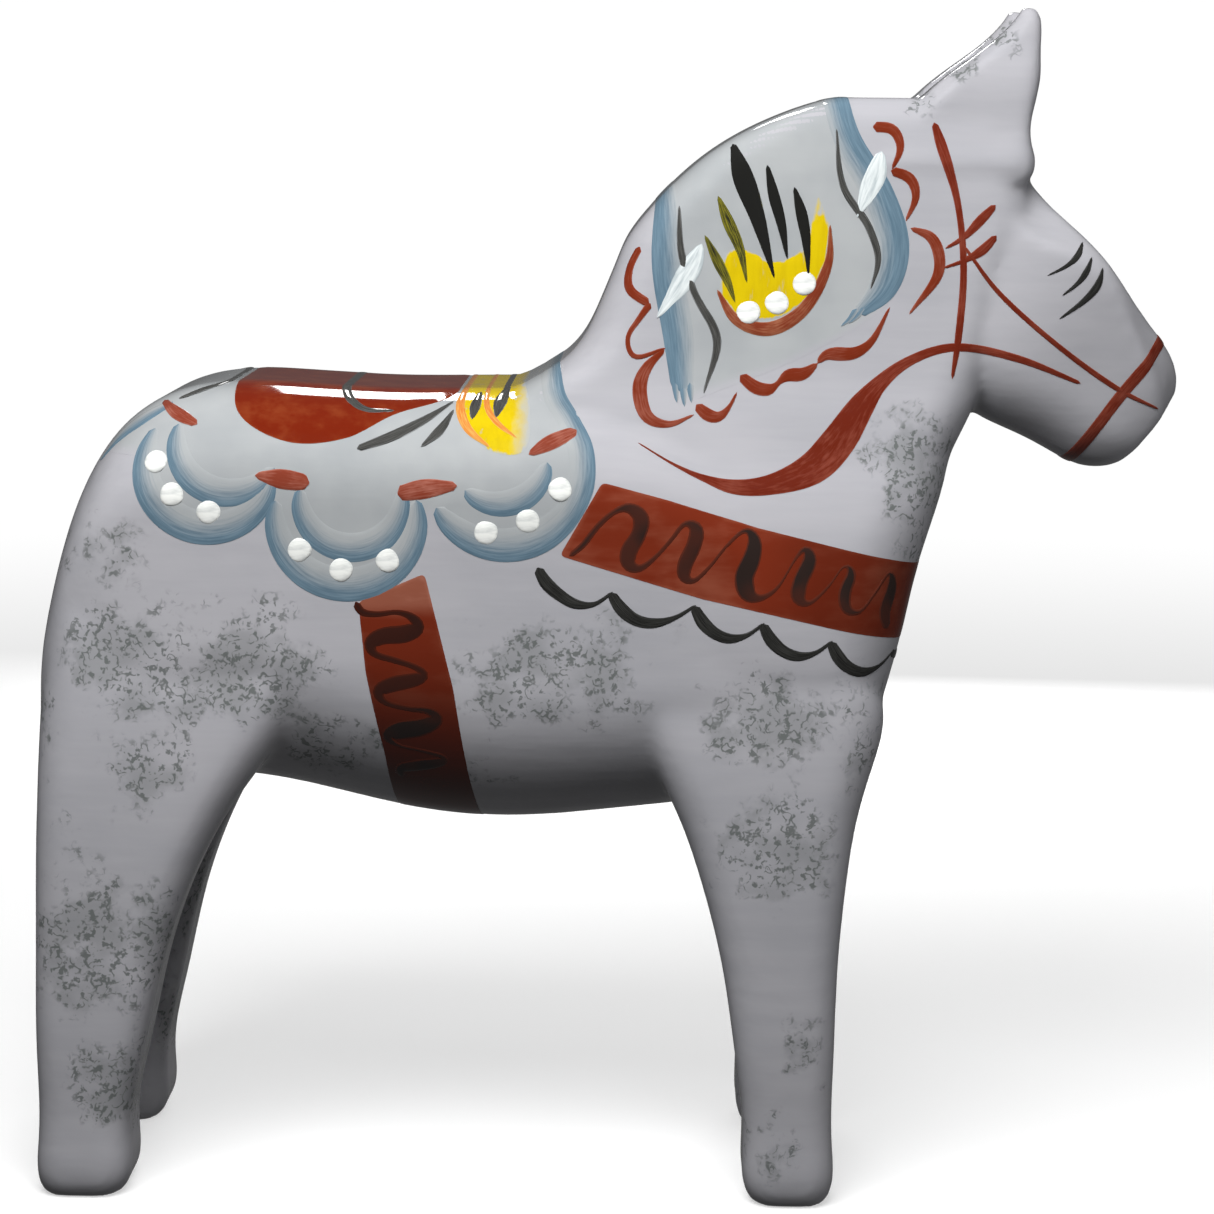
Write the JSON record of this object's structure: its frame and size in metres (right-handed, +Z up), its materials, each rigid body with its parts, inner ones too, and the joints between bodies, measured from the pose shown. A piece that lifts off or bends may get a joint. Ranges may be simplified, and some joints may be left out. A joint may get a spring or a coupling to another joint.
{
  "type": "dala horse",
  "caption": "Carved wooden folk-art horse standing on straight legs, glued from boards and painted with a saddle, girth, chest band, mane panel and bridle.",
  "frame": {"origin": "on the floor under the middle of the outer box", "axes": "+X the way the horse faces, +Y its left side, +Z up"},
  "size_m": [0.2387, 0.0802, 0.2496],
  "materials": {
    "grey_wood": "lilac-grey oil paint with sponged darker flecks, gloss varnish over pine",
    "red_paint": "brushed red-brown paint under gloss varnish",
    "bright_red_paint": "brushed brick-red paint under gloss varnish",
    "dark_paint": "thin dark brown paint under gloss varnish",
    "black_paint": "black paint under gloss varnish",
    "pale_paint": "thin pale grey-blue wash under gloss varnish",
    "blue_paint": "two-tone slate blue brush strokes under gloss varnish",
    "yellow_paint": "brushed yellow paint under gloss varnish",
    "orange_paint": "brushed orange paint under gloss varnish",
    "white_paint": "thick white paint under gloss varnish"
  },
  "bodies": {
    "root": {"centre_board": "grey_wood", "right_board": "grey_wood", "left_board": "grey_wood", "saddle_cloth": "pale_paint", "saddle_arcs": "blue_paint", "saddle_dots": "white_paint", "saddle_dashes": "red_paint", "saddle_drop": "bright_red_paint", "saddle_tulip": "yellow_paint", "saddle_tulip_edges": "orange_paint", "saddle_veins": "black_paint", "girth_band": "red_paint", "girth_wave": "dark_paint", "chest_band": "red_paint", "chest_wave": "dark_paint", "chest_fringe": "black_paint", "mane_wash": "pale_paint", "mane_blue": "blue_paint", "mane_veins": "black_paint", "mane_leaves": "white_paint", "mane_cup": "yellow_paint", "mane_crescent": "red_paint", "mane_petals": "black_paint", "mane_dots": "white_paint", "mane_curls": "red_paint", "bridle_straps": "red_paint", "rein": "red_paint", "noseband": "red_paint", "eye_lashes": "black_paint"}
  },
  "joints": []
}
